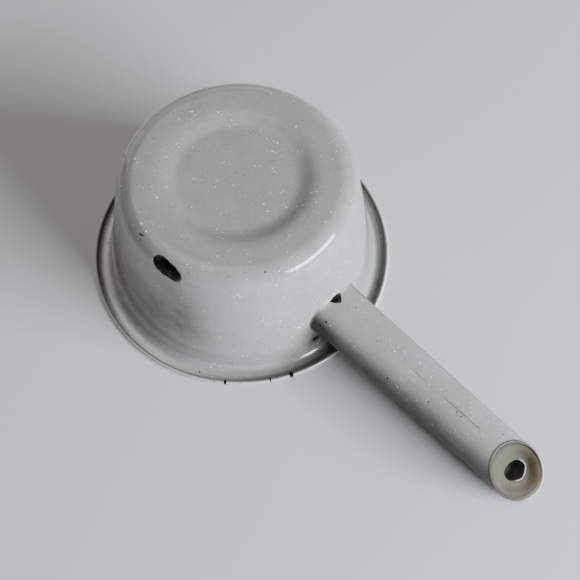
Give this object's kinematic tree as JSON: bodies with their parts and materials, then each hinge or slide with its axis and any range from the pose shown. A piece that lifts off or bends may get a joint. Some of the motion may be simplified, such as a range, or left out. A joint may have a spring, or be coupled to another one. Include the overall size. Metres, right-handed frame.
{
  "type": "enamel saucepan",
  "caption": "Small speckled grey enamelled-steel saucepan with a rolled rim and a hollow tubular handle, stored upside down on its rim.",
  "frame": {"origin": "centre of the pan's mouth, on the plane of the rim", "axes": "+Z from the mouth up to the base, as the pan stands upside down on its rim; +X along the handle"},
  "size_m": [0.2462, 0.14, 0.066],
  "materials": {
    "pan_enamel": "glossy vitreous enamel on steel, light warm grey with fine white and black specks",
    "handle_enamel": "glossy vitreous enamel on steel, light grey with fine specks",
    "end_disc_enamel": "worn, brown-stained grey enamel",
    "weld_enamel": "glossy grey enamel over a weld fillet",
    "seam_enamel": "glossy grey enamel over a butt seam"
  },
  "bodies": {
    "root": {"pan_body": "pan_enamel", "handle_tube": "handle_enamel", "handle_end_disc": "end_disc_enamel", "root_weld": "weld_enamel", "seam_weld": "seam_enamel"}
  },
  "joints": []
}
